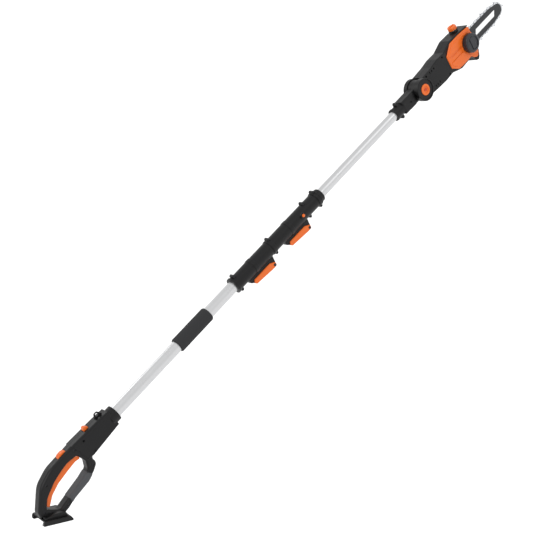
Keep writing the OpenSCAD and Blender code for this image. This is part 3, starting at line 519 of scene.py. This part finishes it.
def foam_profile():
    """The sleeve's slightly uneven outside, rounded over at both ends."""
    count, uneven = 46, 0.12
    out = [(FOAM_FROM + 0.1, radius) for radius in FOAM_MOUTH]
    for k in range(count + 1):
        t = k / count
        from_end = min(min(t, 1 - t) * (FOAM_TO - FOAM_FROM), FOAM_LIP)
        lip = FOAM_LIP * (1 - math.sqrt(max(0.0, 1 - (1 - from_end / FOAM_LIP) ** 2)))
        radius = FOAM_R - lip - uneven * (1 + math.sin(k * 2.3))
        out.append((FOAM_FROM + 0.2 + t * (FOAM_TO - FOAM_FROM - 0.4), radius))
    return out + [(FOAM_TO - 0.1, radius) for radius in reversed(FOAM_MOUTH)]


foam = turned(foam_profile(), count=96)
cut(foam, rod(FOAM_FROM - 12, FOAM_TO + 10, FOAM_BORE))
piece(foam, "foam_sleeve", "foam_grip", sharp=60)


LIP_MIDDLE = 0.3            # the middle point of a rounded lip, as a share of the lip
RING_LIP = 1.1


def stepped(x0, x1, radius, rings, lip0, lip1):
    """Profile of a collar with raised rings, each (from, to, radius). lip0 and lip1 round its ends."""
    radius -= SKIN
    mid0, mid1 = LIP_MIDDLE * lip0, LIP_MIDDLE * lip1
    out = [(x0 + SKIN, radius - lip0), (x0 + mid0, radius - mid0), (x0 + lip0, radius)]
    for a, b, r in rings:
        r -= SKIN
        lip = min(RING_LIP, abs(r - radius) * 0.8)
        mid = LIP_MIDDLE * lip
        out += [(a + SKIN, radius), (a + SKIN, r - lip), (a + mid, r - mid), (a + lip, r),
                (b - lip, r), (b - mid, r - mid), (b - SKIN, r - lip), (b - SKIN, radius)]
    return out + [(x1 - lip1, radius), (x1 - mid1, radius - mid1), (x1 - SKIN, radius - lip1)]


LUG_HALF, LUG_BAR = 9, 5    # half widths of a lug across the pole, and of its bar along it


def lugs(x, radius=5.0, out=24.5):
    """The near half of a collar's two screw lugs, with the bar that joins them."""
    bar = box(x - LUG_BAR, x + LUG_BAR, -out, out, 0.5)
    return [near_slab(disc(x, s * out, radius), LUG_HALF, 1.6) for s in (-1, 1)] + [near_slab(bar, LUG_HALF, 1.0)]


LEVER_LEN, LEVER_HALF = 80, 12.5 - SKIN
COLLAR_R = 22.5
COUPLER_FROM, COUPLER_SPLIT, COUPLER_TO = 690, 849, 1076.1
POLE_KEY = (990, 0, 6)      # the pole lock button's axis


def clamp_base(joint):
    """The near half of the block under a collar that carries a clamp lever's pin."""
    x, _, z = joint_at[joint]
    free = x - LEVER_LEN
    return near_slab([(free - 14, -18, 1), (free - 14, -31, 4), (free - 8, -37, 4), (free + 2, -33, 3),
                      (x - 16, -33, 3), (x - 7, z - 3, 3), (x - 4, z - 6, 3), (x + 4, z - 6, 3), (x + 7, z - 3, 3),
                      (x + 12, -18, 1)], LUG_HALF, 1.2)


def lower_coupler():
    """The near half's rounded outside."""
    rings = [(COUPLER_FROM + 0.4, 698, 25.5), (768, 782, 24.1)]
    return union(half_rod(stepped(COUPLER_FROM, COUPLER_SPLIT, COLLAR_R, rings, 0.6, 0.6)),
                 clamp_base("clamp_lever_lower_open"), *lugs(706))


def upper_coupler():
    """The near half's rounded outside, with the boss round the pole lock button."""
    rings = [(COUPLER_SPLIT + 0.4, 863, 24.5), (931, 945, 23.9), (1062, 1072, 24.9), (1072.1, 1076, 24.9)]
    return union(half_rod(stepped(COUPLER_SPLIT, COUPLER_TO, COLLAR_R, rings, 0.6, 0.6)),
                 half_rod(stepped(1070, 1090, 21.5, (), 0.3, 2.5)),
                 clamp_base("clamp_lever_upper_open"), *lugs(861), *lugs(1020, 4.5), *lugs(1070, 5.5),
                 rod(-25.95, -PARTING, 8.95, 1.4, 0, "Y", POLE_KEY, 48))


def lever_shape(node):
    """A clamp lever, with finger ridges at the free end of its outer plate, which slopes."""
    x = joint_at[node + "_open"][0]
    free, slope = x - LEVER_LEN, 6 / 68
    outline = [(free, -30, 2), (free - 4, -38, 4), (free, -46, 4), (x - 12, -52, 5), (x + 6, -52, 5), (x + 7, -40, 5),
               (x - 12, -30, 6)]
    lever = inside(node, plate(inset(outline, SKIN), -LEVER_HALF, LEVER_HALF, 2.6, 2.6))
    ridges = [rod(-9, 9, 0.7, 0.4, 0.4, "Y", (free + along, 0, -46.15 - slope * along), 12, 2)
              for along in (4 + 3.2 * k for k in range(5))]
    return joined([lever] + ridges)


RIVET_HEAD = [(12.6, 4.6), (13.4, 4.4), (14.1, 3.4), (14.4, 1.6)]    # y and radius


def rivet(x, y, z):
    """A lever's pin with a domed head at each end."""
    other_head = [(-along, radius) for along, radius in reversed(RIVET_HEAD)]
    return [rod(-12.4, 12.4, 2, 0.3, 0.3, "Y", (x, y, z), 24), turned(RIVET_HEAD, "Y", (x, y, z), 32),
            turned(other_head, "Y", (x, y, z), 32)]


for level, build in (("lower", lower_coupler), ("upper", upper_coupler)):
    near_and_far(f"coupler_{level}", build, f"coupler_{level}")
    piece(lever_shape(f"clamp_lever_{level}"), f"lever_{level}", f"clamp_lever_{level}")
rivets = rivet(*joint_at["clamp_lever_lower_open"]) + rivet(*joint_at["clamp_lever_upper_open"])
piece(joined(rivets), "lever_rivets", "lever_pins", slot="dark_screws")
pole_key = turned([(-28.9, 1.2), (-28.8, 3.4), (-28.2, 4.6), (-27.2, 4.97), (-21.5, 4.97), (-21.4, 6.7),
                   (-20.1, 6.7)], "Y", POLE_KEY, 48)
piece(pole_key, "pole_lock_key", "pole_button")


# ---- tilt joint ----
BARREL_R, BARREL_NEAR, BARREL_FAR = 33, -16, 14     # the link's barrel and its faces in y
EAR_NEAR, EAR_FAR, DISC_R = -36, 30, 36             # the head's two discs and their outer faces
LINK_HALF, LINK_FROM = 21.8, PIVOT_X - 132
PIVOT = (PIVOT_X, 0, 0)


def at_pivot(corners):
    """An outline drawn from the tilt pivot."""
    return [(PIVOT_X + x, z, r) for x, z, r in corners]


def link_envelope(barrel_out):
    """The near half of the link's rounded outside, whose barrel is barrel_out wide."""
    arm = at_pivot([(-70, -LINK_HALF, 2), (2, -LINK_HALF, 0.1), (2, LINK_HALF, 0.1), (-70, LINK_HALF, 2)])
    block = at_pivot([(-96, -LINK_HALF, 3), (-42, -LINK_HALF, 2), (-37, -14, 4), (-37, 14, 4), (-42, LINK_HALF, 2),
                      (-96, LINK_HALF, 3)])
    return union(near_slab(disc(PIVOT_X, 0, BARREL_R), barrel_out, 1.2), near_slab(arm, barrel_out, 3.0),
                 near_slab(block, 20, (5, 5.5)),
                 half_rod(stepped(LINK_FROM, LINK_FROM + 40, 19.5, [(LINK_FROM + 0.1, LINK_FROM + 8, 21)], 0.4, 0.4)),
                 *lugs(LINK_FROM + 26, 5.5, 23.5))


piece(inside("link_near", link_envelope(-BARREL_NEAR)), "link_near_half", "link_near")
piece(inside("link_far", mirrored(link_envelope(BARREL_FAR))), "link_far_half", "link_far")
button = union(rod(EAR_NEAR + 0.65, EAR_NEAR + 11, 17.95, 1.6, 0, "Y", PIVOT),
               rod(EAR_NEAR + 9.05, EAR_NEAR + 10.95, 20.35, 0.3, 0.3, "Y", PIVOT))
piece(inside("tilt_button", button), "tilt_key", "tilt_button")
ARROW = at_pivot([(-6, -3.6, 1), (1, -3.6, 0.6), (1, -7, 0.8), (8, 0, 1.2), (1, 7, 0.8), (1, 3.6, 0.6), (-6, 3.6, 1)])
arrow = plate(ARROW, EAR_NEAR + 1.3, EAR_NEAR + 2.6, 0.4, 0)
piece(arrow, "tilt_key_arrow", body="tilt_button", slot="orange_plastic")
arrow.data.materials[0] = materials["deep_orange"]

# ---- saw head ----
NECK = at_pivot([(0, -34, 10), (62, -39, 40), (104, -41, 40), (142, -38.5, 12), (166, -47, 10),
                 (186, -52.5, 12), (240, -49.5, 6), (252, -60, 4), (256, -72, 4), (267, -76, 3),
                 (275, -68, 4), (283, -52, 10), (286, -40, 3), (286, 46, 6), (228, 51.5, 20),
                 (186, 52.5, 12), (166, 46, 12), (142, 38.5, 12), (104, 39.5, 40), (68, 34.5, 40),
                 (0, 31, 10)])
COVER = at_pivot([(143, -25, 5), (171, -45, 8), (200, -47.5, 20), (241, -46, 5), (252, -58, 4),
                  (264, -64, 5), (275, -58, 5), (282, -34, 8), (282, 42, 6), (228, 46.5, 20),
                  (180, 46.5, 12), (143, 19.5, 5)])
NEAR_FACE, FAR_FACE = -24 + SKIN, 26 - SKIN
COVER_Y = -27               # the cover's outer face
KNOB = (joint_at["cover_knob_turn"][0], 0, joint_at["cover_knob_turn"][2])
SPINDLE_X = joint_at["spindle_spin"][0]
OIL = (joint_at["oil_cap_turn"][0], joint_at["oil_cap_turn"][1], 0)
DRIVE_Z = -2                # the height of the bar, the chain and the sprockets


def oil_neck():
    """The collar under the oil cap."""
    return rod(40, 55.95, 15.45, 0.2, 1.2, "Z", OIL)


def ear(y0, y1, edge0, edge1):
    """The disc at the tilt joint on one side of the head."""
    return rod(y0, y1, DISC_R - SKIN, edge0, edge1, "Y", PIVOT, 96)


near_head = union(plate(inset(NECK, SKIN), NEAR_FACE, -PARTING, (2.6, 3.4), SEAM_EDGE),
                  ear(EAR_NEAR + SKIN, -PARTING, 2.4, 0.4), oil_neck())
piece(inside("housing_near", near_head), "head_near_half", "housing_near")
far_head = union(plate(inset(NECK, SKIN), PARTING, FAR_FACE, SEAM_EDGE, (6.5, 7.5), steps=6),
                 ear(PARTING, EAR_FAR - SKIN, 0.4, 2.4), oil_neck())
far_head = inside("housing_far", far_head)
# a ring of raised dots round the far end of the tilt joint, and a cap in its middle
DOTS, DOT_RING = 16, 28
dot_turns = [2 * math.pi * k / DOTS for k in range(DOTS)]
dots = [turned([(EAR_FAR - 0.3, 1.7), (EAR_FAR + 0.3, 1.6), (EAR_FAR + 0.8, 1.1), (EAR_FAR + 1, 0.4)], "Y",
               (PIVOT_X + DOT_RING * math.cos(t), 0, DOT_RING * math.sin(t)), 16) for t in dot_turns]
cap = turned([(EAR_FAR - 0.5, 19), (EAR_FAR + 0.8, 18.8), (EAR_FAR + 1.6, 17.6), (EAR_FAR + 1.8, 15),
              (EAR_FAR + 1.2, 13.6), (EAR_FAR + 1.2, 1)], "Y", PIVOT)
piece(joined([far_head, cap] + dots), "head_far_half", "housing_far")

cover = plate(inset(COVER, SKIN), COVER_Y + SKIN, -10.5 - SKIN, (3.6, 4.6), 0.2, steps=6)
piece(inside("sprocket_cover", cover), "head_cover", "sprocket_cover")
# a raised lip round the knob
lip = turned([(COVER_Y + 0.3, 36.2), (COVER_Y - 0.9, 35.8), (COVER_Y - 1.5, 34.8), (COVER_Y - 1.5, 33.4),
              (COVER_Y - 0.9, 32.6), (COVER_Y + 0.3, 32.4)], "Y", KNOB, 96)
piece(lip, "head_cover_lip", body="saw_head", slot="orange_plastic")
# a raised panel on the cover, with a channel that runs back from the knob
THROUGH = -40, -20          # a cutter's ends, well past the panel
panel = plate(inset(COVER, 7.5), COVER_Y - 1.7, COVER_Y + 0.3, (2.4, 1.7), 0, steps=5)
channel = plate(at_pivot(box(130, 232, -9.5, 12.5, 1)), *THROUGH)
cut(panel, rod(*THROUGH, 37.4, axis="Y", centre=KNOB, count=96), channel)
piece(panel, "head_cover_panel", body="saw_head", slot="orange_plastic")

SCALLOPS, SCALLOP_RING, SCALLOP_R = 18, 32.8, 2.3
KNOB_FACE = -46.5


def knob_shape():
    """A scalloped rim round a dished face, with a raised bar to turn it by and a hole for the bar stud."""
    body = turned([(COVER_Y - 0.25, 28.9), (COVER_Y - 4, 29), (COVER_Y - 4.2, 30.6), (-32.4, 31.3), (-44.5, 31.3),
                   (-46.6, 30.4), (-48.2, 28.4), (-49.4, 25.6), (-49.45, 23.2), (-48.7, 22.0), (-46.55, 21.6),
                   (KNOB_FACE, 1)], "Y", KNOB, 144)
    for k in range(SCALLOPS):
        t = 2 * math.pi * k / SCALLOPS
        at = (KNOB[0] + SCALLOP_RING * math.cos(t), 0, KNOB[2] + SCALLOP_RING * math.sin(t))
        cut(body, rod(-60, -20, SCALLOP_R, axis="Y", centre=at, count=20))
    union(body, rod(COVER_Y - 0.3, COVER_Y + 1.55, 25.35, axis="Y", centre=KNOB))
    cut(body, rod(-43, 0, 3.05, axis="Y", centre=KNOB, count=24))
    bar = plate(box(KNOB[0] - 10, KNOB[0] + 10, KNOB[2] - 20.6, KNOB[2] + 20.6, 4), -49.4, KNOB_FACE + 0.5, 2.2, 0)
    return joined([body, bar])


piece(knob_shape(), "clamping_knob", "cover_knob")
cap_shape = turned([(50, 10.4), (57.1, 10.4), (57.2, 14.2), (58, 14.95), (66.4, 14.95), (68, 14.2), (68.7, 12.4),
                    (68.7, 1)], "Z", OIL)
piece(inside("oil_cap", cap_shape), "oil_filler_cap", "oil_cap")
finger_bar = plate(box(OIL[0] - 11, OIL[0] + 11, 68.3, 71.3, 1.4), OIL[1] - 2, OIL[1] + 2, 1.4, 1.4)
piece(finger_bar, "oil_filler_cap_bar", body="oil_cap", slot="orange_plastic")

# ---- bar and chain ----
BAR_Y, BAR_W = -12.6, 51
piece(chamfered(cad_copy("guide_bar"), 0.3), "cutting_bar", "guide_bar")
# a plain slanted mark on both sides of the bar
MARK_X, MARK_THICK = PIVOT_X + 367, 0.08
MARK = [(-62, -8.5, 1.5), (48, -8.5, 1.5), (60, 8.5, 1.5), (-50, 8.5, 1.5)]
for side, y in (("near", BAR_Y - 2.1), ("far", BAR_Y + 2.02)):
    stripe = plate([(MARK_X + x, DRIVE_Z + z, r) for x, z, r in MARK], y, y + MARK_THICK)
    piece(stripe, f"bar_stripe_{side}", body="saw_head", slot="tank_plastic")
    stripe.data.materials[0] = materials["pale_mark"]

LINKS = 33                  # drive links, with a pair of side links after each
NOSE_X, NOSE_R, NOSE_FROM = joint_at["nose_sprocket_spin"][0], 18.4, 80
SPROCKET_R, RIVET_LIFT = 18.2, 3.4
BELLY = BAR_W / 2 + RIVET_LIFT      # the rivets' distance from the bar's middle line


def arc_points(x, radius, degrees):
    """Points round (x, 0) at each of the degrees."""
    return [Vector((x + radius * math.cos(math.radians(a)), radius * math.sin(math.radians(a)))) for a in degrees]


def chain_path():
    """The rivets' path: round the sprocket, out along the top edge, round the nose and back."""
    upper = arc_points(SPINDLE_X, SPROCKET_R, range(180, 95, -6))
    upper += [Vector((PIVOT_X + x, BELLY + bow)) for x, bow in ((262, 0), (300, 0.4), (360, 0.4), (404, 0))]
    upper += arc_points(NOSE_X, NOSE_R + RIVET_LIFT, range(NOSE_FROM, -1, -5))
    return upper + [Vector((p.x, -p.y)) for p in reversed(upper[1:-1])] + [upper[0]]


def rivet_places():
    """Two rivets to a drive link, at even steps along the path."""
    path = chain_path()
    steps = [(b - a).length for a, b in zip(path, path[1:])]
    step = sum(steps) / (2 * LINKS)
    places, walked, i = [], 0.0, 0
    for k in range(2 * LINKS):
        while walked + steps[i] < k * step:
            walked += steps[i]
            i += 1
        places.append(path[i].lerp(path[i + 1], (k * step - walked) / steps[i]))
    return places


def place_of(p, q):
    """Puts a link drawn from (0, 0) towards +X between two rivets."""
    slope = math.atan2(q.y - p.y, q.x - p.x)
    return Matrix.Translation((p.x, BAR_Y, p.y + DRIVE_Z)) @ Matrix.Rotation(-slope, 4, "Y")


def flat_link(corners, y0, y1, place, edge=0.18):
    """A stamped link with small broken edges."""
    return plate(corners, y0, y1, edge, edge, place=place, steps=1, arc=3)


def tie_strap(pitch):
    """Rounded ends and a straight back that rides on the bar."""
    return [(-2.4, -2.4, 2), (pitch + 2.4, -2.4, 2), (pitch + 2.4, 2.2, 2), (pitch / 2, 2.7, 6), (-2.4, 2.2, 2)]


def cutter_side(pitch):
    """A depth gauge in front, a gullet, and the back of the tooth."""
    return [(-2.4, -2.4, 2), (pitch + 2.4, -2.4, 2), (pitch + 2.4, 1.8, 1), (pitch + 1.7, 5.6, 0.8),
            (pitch - 0.2, 6.2, 0.6), (pitch - 1.4, 2.6, 1.4), (pitch / 2 + 1, 2.6, 1.4), (pitch / 2, 7.1, 0.3),
            (-2, 6.4, 0.5), (-2.4, 0, 1)]


def drive_link(pitch, tang):
    """A plain link, or one with a tang that runs in the bar's groove."""
    if not tang:
        return [(-2.4, -2.2, 2), (pitch + 2.4, -2.2, 2), (pitch + 2.4, 2.2, 2), (-2.4, 2.2, 2)]
    return [(-2.4, -1.8, 1.6), (1.6, -2.7, 1), (3.6, -7.2, 0.5), (5.8, -7.0, 0.6), (7.6, -2.6, 1),
            (pitch + 2.4, -1.8, 1.6), (pitch + 2.4, 2.2, 2), (-2.4, 2.2, 2)]


TANGS = 214, 424            # tangs are drawn where the chain lies on the bar, from the tilt pivot
DRIVE_HALF, SIDE_IN, SIDE_OUT, TOOTH_OUT = 0.6, 0.65, 1.9, 3.2
CUTTER_EVERY = 8            # rivets from one cutter to the next on the same side
CHAIN_RIVET = [(-2.3, 0.7), (-2.15, 1.3), (-1.8, 1.6), (1.8, 1.6), (2.15, 1.3), (2.3, 0.7)]


def side_pair(pitch, place, cutter):
    """The two side links between two rivets. cutter is the side, -1 or 1, whose link is a cutter, or 0."""
    pair = []
    for s, lo, hi in ((-1, -SIDE_OUT, -SIDE_IN), (1, SIDE_IN, SIDE_OUT)):
        pair.append(flat_link(cutter_side(pitch) if s == cutter else tie_strap(pitch), lo, hi, place))
    if cutter:
        lo, hi = sorted((cutter * SIDE_IN, cutter * TOOTH_OUT))
        top = [(-2, 5.4, 0.2), (pitch / 2 - 0.4, 6.1, 0.2), (pitch / 2, 7.15, 0.2), (-2, 6.4, 0.4)]
        pair.append(flat_link(top, lo, hi, place, 0.12))
    return pair


drive, sides, pins = [], [], []
places = rivet_places()
for k, p in enumerate(places):
    q = places[(k + 1) % len(places)]
    pitch, place = (q - p).length, place_of(p, q)
    if k % 2 == 0:
        tang = TANGS[0] < (p.x + q.x) / 2 - PIVOT_X < TANGS[1]
        drive.append(flat_link(drive_link(pitch, tang), -DRIVE_HALF, DRIVE_HALF, place))
        continue
    sides += side_pair(pitch, place, {0: -1, CUTTER_EVERY // 2: 1}.get((k - 1) % CUTTER_EVERY, 0))
    pins += [turned(CHAIN_RIVET, "Y", place @ Vector((t, 0, 0)), 12) for t in (0, pitch)]
piece(joined(drive), "chain_drive_row", "chain_drive_links", sharp=30)
piece(joined(sides + pins), "chain_cutter_row", "chain_side_links", sharp=30)


# ---- springs and cable ----
def spring(name, node, radius, wire, height, turns, at, axis):
    """A coil that stands at a point, along Y or Z."""
    place = Matrix.Translation(at)
    if axis[1]:
        place = place @ Matrix.Rotation(math.radians(90), 4, "X")
    obj = piece(coil(radius, wire, height, turns, place), name, node, sharp=60)
    obj.modifiers.clear()
    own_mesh(obj)


ALONG_Y, ALONG_Z = (0, 1, 0), (0, 0, 1)
spring("trigger_coil", "trigger_spring", 3.2, 0.5, 24, 8, (-32, 0, -6.4), ALONG_Z)
spring("lock_off_coil", "lock_off_spring", 3, 0.45, 8, 5, (32, 0, 16.9), ALONG_Z)
spring("tube_latch_coil", "tube_latch_spring", 2.6, 0.45, 4.4, 4, (119, 0, 17.5), ALONG_Z)
spring("pole_lock_coil", "pole_button_spring", 3, 0.4, 2.6, 3, (POLE_KEY[0], -17.3, POLE_KEY[2]),
       ALONG_Y)
spring("tilt_key_coil", "tilt_button_spring", 9, 0.7, 12, 5, (PIVOT_X, EAR_NEAR + 18.4, 0),
       ALONG_Y)

CABLE_FROM, CABLE_LONG, CABLE_TURNS, CABLE_WIRE_R = 142.5, 497, 64, 2.1


def curly_spine():
    """Close turns up the tube, which grow from the axis over the first turn and shrink to it over the last."""
    per_turn, radius = 14, 7.6
    count = CABLE_TURNS * per_turn
    spine = []
    for i in range(count + 1):
        t = i / count
        grow = min(1.0, i / per_turn, (count - i) / per_turn)
        a = 2 * math.pi * i / per_turn
        spine.append(Vector((CABLE_FROM + CABLE_LONG * t, radius * grow * math.cos(a), radius * grow * math.sin(a))))
    return spine


cable = piece(sweep(curly_spine(), CABLE_WIRE_R), "curly_lead", "curly_cable", sharp=60)
cable.modifiers.clear()
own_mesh(cable)


# ---- scene: camera, lights and floor, in metres ----
CAMERA_AT = Vector((-0.2626, -2.2731, 1.2944))
CAMERA_RIGHT = Vector((0.628, -0.599, -0.497)).normalized()
CAMERA_BACK = Vector((-0.377, -0.793, 0.478)).normalized()
FOCAL, SENSOR = 64.46, 36
camera = bpy.data.objects.new("camera", bpy.data.cameras.new("camera"))
bpy.context.scene.collection.objects.link(camera)
up = CAMERA_BACK.cross(CAMERA_RIGHT).normalized()
right = up.cross(CAMERA_BACK)
camera.matrix_world = Matrix(((right.x, up.x, CAMERA_BACK.x, CAMERA_AT.x),
                              (right.y, up.y, CAMERA_BACK.y, CAMERA_AT.y),
                              (right.z, up.z, CAMERA_BACK.z, CAMERA_AT.z), (0, 0, 0, 1)))
camera.data.lens = FOCAL
camera.data.sensor_width = SENSOR
camera.data.clip_end = 100
bpy.context.scene.camera = camera


def area_light(name, at, aim, size, power):
    """A round light of that size in metres, pointed at aim."""
    light = bpy.data.objects.new(name, bpy.data.lights.new(name, "AREA"))
    light.data.shape = "DISK"
    light.data.size = size
    light.data.energy = power
    light.location = at
    light.rotation_euler = (Vector(aim) - Vector(at)).to_track_quat("-Z", "Y").to_euler()
    bpy.context.scene.collection.objects.link(light)


# a broad soft key from above and behind the camera, a fill at the head end and a rim from the far side
sun = bpy.data.objects.new("key", bpy.data.lights.new("key", "SUN"))
sun.data.energy = 0.95
sun.data.angle = math.radians(35)
sun.rotation_euler = Vector((1.4, 1.4, -3.0)).to_track_quat("-Z", "Y").to_euler()
bpy.context.scene.collection.objects.link(sun)
area_light("fill", (3.4, -2.4, 2.4), (1.3, 0, 0), 2.0, 9)
area_light("rim", (0.6, 2.6, 2.2), (1.0, 0, 0), 1.6, 12)
world = bpy.data.worlds.new("studio")
world.use_nodes = True
world.node_tree.nodes["Background"].inputs["Color"].default_value = (1, 1, 1, 1)
world.node_tree.nodes["Background"].inputs["Strength"].default_value = 1
bpy.context.scene.view_settings.view_transform = "Standard"
bpy.context.scene.world = world

FLOOR_Z = -0.42             # the bar stays above it when the head is tilted right down
bpy.ops.mesh.primitive_plane_add(size=60, location=(1, 0, FLOOR_Z))
floor = bpy.context.active_object
floor.name = "floor"
floor.data.materials.append(shader("floor", (0.93, 0.93, 0.93), 0.8))
